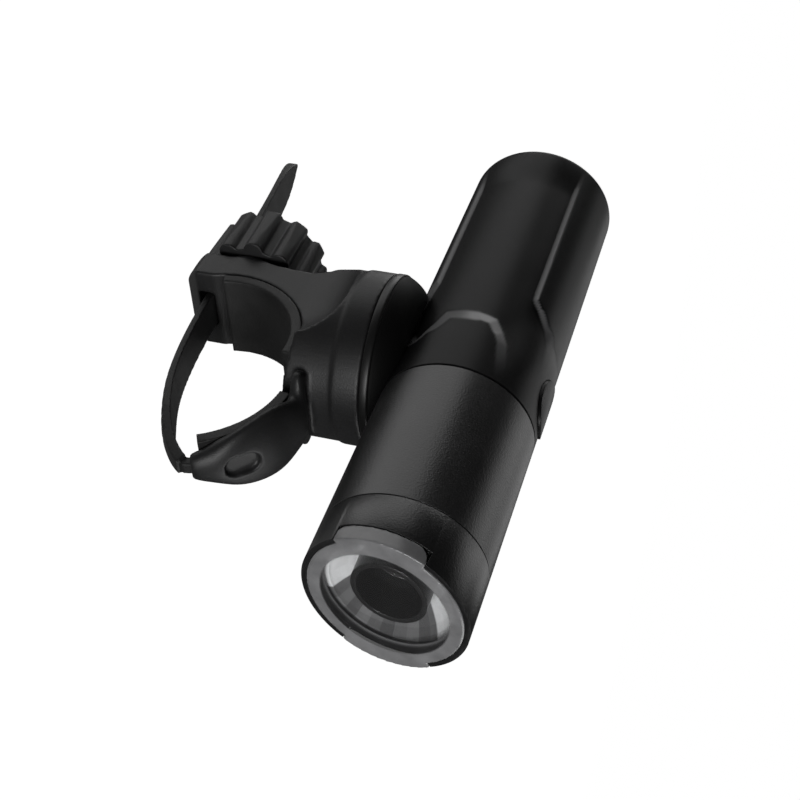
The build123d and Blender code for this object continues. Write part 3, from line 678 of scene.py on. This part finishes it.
class HEADLIGHT_OT_finishes(bpy.types.Operator):
    """Give every piece its finish"""

    bl_idname = "headlight.finishes"
    bl_label = "Finishes"

    def execute(self, context):
        s = context.scene.headlight_finish
        body = context.scene.headlight_body
        blasted = plain_finish("blasted_black", s.blasted, 0.34, 3400, 0.05, 0.5, 0.35)
        dress(blasted, "front_bezel", "front_housing")
        # The rear shell's panel slopes carry a painted highlight in a lighter grey
        shell = plain_finish("shell_black", s.smooth, 0.38, 7000, 0.01, 0.12, 0.15, painted_slope_highlight=s.painted_slope_highlight)
        dress(shell, "rear_shell")
        smooth = plain_finish("smooth_black", s.smooth, 0.38, 7000, 0.01, 0.12, 0.15)
        dress(smooth, "power_button", "end_cap")
        plastic = plain_finish("moulded_plastic", s.plastic, 0.48, 4200, 0.03, 0.3, 0.25)
        dress(plastic, "clamp_base", "dial_nut", "nut_clip")
        satin = plain_finish("satin_plate", (0.004, 0.004, 0.004), 0.4, 6000, 0.003, 0.3, 0.1)
        dress(satin, "swivel_plate")
        dull = plain_finish("dull_foot", (0.002, 0.002, 0.002), 0.6, 6000, 0.003, 0.08, 0.1)
        dress(dull, "mount_foot")
        rubber = rubber_finish("black_rubber", s.rubber, 0.6)
        dress(rubber, "saddle_pad", "arm_pad", "strap", "socket_cover", "window_seal", "housing_seal")
        barrel = plain_finish("barrel_black", (0.012, 0.012, 0.012), 0.32, 5000, 0.01, 0.5, 0.35)
        dress(barrel, "optic_barrel")
        silver = mirror_finish("bright_reflector", body.axis_height, body.facets)
        dress(silver, "reflector_dish")
        dress(clear_finish("clear_window", body.axis_height, 11.6 * MM), "lens_window")
        # Wider than the lens itself, so that none of it turns grey
        dress(clear_finish("clear_optic", body.axis_height, 20 * MM), "optic_lens")
        dress(emitter_finish("emitter_yellow"), "led_emitter")
        white_board = plain_finish("board_white", (0.7, 0.7, 0.68), 0.4, 2500, 0.01, 0.5, 0.04)
        dress(white_board, "led_board")
        board = plain_finish("board_green", (0.03, 0.14, 0.06), 0.35, 2500, 0.02, 0.5, 0.2)
        dress(board, "driver_board", "button_board", "charge_board")
        steel = plain_finish("screw_steel", (0.45, 0.45, 0.46), 0.3, 5000, 0.006, 0.5, 0.1, metallic=1.0)
        dress(steel, "foot_screws", "pivot_screw", "strap_pin", "clip_screw")
        dress(steel, "button_switch", "charge_socket")
        nickel = plain_finish("contact_metal", (0.6, 0.57, 0.5), 0.25, 5000, 0.004, 0.5, 0.1, metallic=1.0)
        dress(nickel, "front_contact", "rear_contact")
        wrap = plain_finish("cell_wrap", (0.06, 0.2, 0.36), 0.3, 1500, 0.01, 0.5, 0.1)
        dress(wrap, "battery_cell")
        holder = plain_finish("holder_plastic", (0.09, 0.09, 0.09), 0.5, 3500, 0.02, 0.4, 0.2)
        dress(holder, "cell_holder")
        slip = plain_finish("ring_plastic", (0.6, 0.6, 0.58), 0.45, 3500, 0.01, 0.4, 0.06)
        dress(slip, "friction_ring")
        return {"FINISHED"}


# Lamps: place and size in metres, and power in watts. The left one lights the long
# highlight on the body, the right and edge ones the strip along its far side, the rear one
# the slopes of the side panel, and the others the front and the side away from the camera.
LAMPS = (
    ("left_softbox", (-0.51, 0.5, -0.3), (0.6, 0.95), 2.8),
    ("right_softbox", (0.15, 0.48, 0.63), (0.3, 0.5), 0.55),
    ("edge_softbox", (0.5, 0.6, 0.4), (0.35, 0.5), 0.4),
    ("rear_softbox", (-0.1, 0.9, 0.08), (0.42, 0.6), 2.0),
    ("far_fill", (0.6, -0.35, 0.4), (0.5, 0.5), 2.5),
    ("front_softbox", (-0.15, -0.75, 0.08), (0.3, 0.3), 5.0),
)
# What the lamps point at
LAMP_TARGET = (0, 0.01, 0.03)
FLOOR_HALF = 12.0


def area_lamp(name, place, size, power):
    data = bpy.data.lights.new(name, "AREA")
    data.shape = "RECTANGLE"
    data.size, data.size_y = size
    data.energy = power
    lamp = bpy.data.objects.new(name, data)
    lamp.location = place
    lamp.rotation_euler = (Vector(LAMP_TARGET) - Vector(place)).to_track_quat("-Z", "Y").to_euler()
    bpy.context.scene.collection.objects.link(lamp)


def seen_white(graph):
    """1 for rays from the camera, straight or through the window, 0 for those that light the part."""
    seen = graph.node("ShaderNodeLightPath")
    return (seen["Is Camera Ray"] + seen["Is Transmission Ray"]).clamp()


class HEADLIGHT_OT_stage(bpy.types.Operator):
    """Floor, lamps, world and camera"""

    bl_idname = "headlight.stage"
    bl_label = "Stage"

    def execute(self, context):
        s = context.scene.headlight_stage
        shape = bmesh.new()
        bmesh.ops.create_grid(shape, x_segments=8, y_segments=8, size=FLOOR_HALF)
        bmesh.ops.translate(shape, verts=shape.verts, vec=(0, 0, s.floor_height))
        mesh = bpy.data.meshes.new("floor")
        shape.to_mesh(mesh)
        shape.free()
        floor = bpy.data.objects.new("floor", mesh)
        context.scene.collection.objects.link(floor)
        g = Graph("floor_white")
        white = (1, 1, 1, 1)
        matt = g.node("ShaderNodeBsdfDiffuse", None, {"Color": (0.8, 0.8, 0.8, 1)})["BSDF"]
        glow = g.node("ShaderNodeEmission", None, {"Color": white, "Strength": seen_white(g)})["Emission"]
        mesh.materials.append(g.finish(g.node("ShaderNodeAddShader", None, {0: matt, 1: glow})["Shader"]))

        g = Graph("studio", "world")
        dim = g.node("ShaderNodeBackground", None, {"Color": white, "Strength": s.surround})["Background"]
        bright = g.node("ShaderNodeBackground", None, {"Color": white, "Strength": 1.0})["Background"]
        mix = g.node("ShaderNodeMixShader", None, {0: seen_white(g), 1: dim, 2: bright})["Shader"]
        context.scene.world = g.finish(mix)

        for lamp in LAMPS:
            area_lamp(*lamp)

        data = bpy.data.cameras.new("camera")
        data.lens = s.lens
        data.sensor_width = 36.0
        data.clip_start = 0.01
        data.clip_end = 60.0
        camera = bpy.data.objects.new("camera", data)
        camera.location = s.camera_place
        camera.rotation_euler = Euler(s.camera_turn, "XYZ")
        context.scene.collection.objects.link(camera)
        context.scene.camera = camera
        context.scene.view_settings.view_transform = "Standard"
        return {"FINISHED"}


class HEADLIGHT_PT_panel(bpy.types.Panel):
    """Lists the steps that build the headlight."""

    bl_label = "Headlight"
    bl_space_type = "VIEW_3D"
    bl_region_type = "UI"
    bl_category = "Headlight"

    def draw(self, context):
        for step in STEPS:
            self.layout.operator(step.bl_idname)
        for name, kind in GROUPS.items():
            group = getattr(context.scene, name)
            for key in kind.__annotations__:
                self.layout.prop(group, key)


GROUPS = {
    "headlight_body": BodySettings,
    "headlight_bracket": BracketSettings,
    "headlight_finish": FinishSettings,
    "headlight_stage": StageSettings,
}
STEPS = (
    HEADLIGHT_OT_rear_shell,
    HEADLIGHT_OT_front,
    HEADLIGHT_OT_bracket,
    HEADLIGHT_OT_finishes,
    HEADLIGHT_OT_stage,
)
CLASSES = (*GROUPS.values(), *STEPS, HEADLIGHT_PT_panel)


def register():
    for item in CLASSES:
        bpy.utils.register_class(item)
    for name, kind in GROUPS.items():
        setattr(bpy.types.Scene, name, bpy.props.PointerProperty(type=kind))


def unregister():
    for name in GROUPS:
        delattr(bpy.types.Scene, name)
    for item in reversed(CLASSES):
        bpy.utils.unregister_class(item)


def main():
    register()
    for step in STEPS:
        group, name = step.bl_idname.split(".")
        getattr(getattr(bpy.ops, group), name)()


if __name__ == "__main__":
    main()
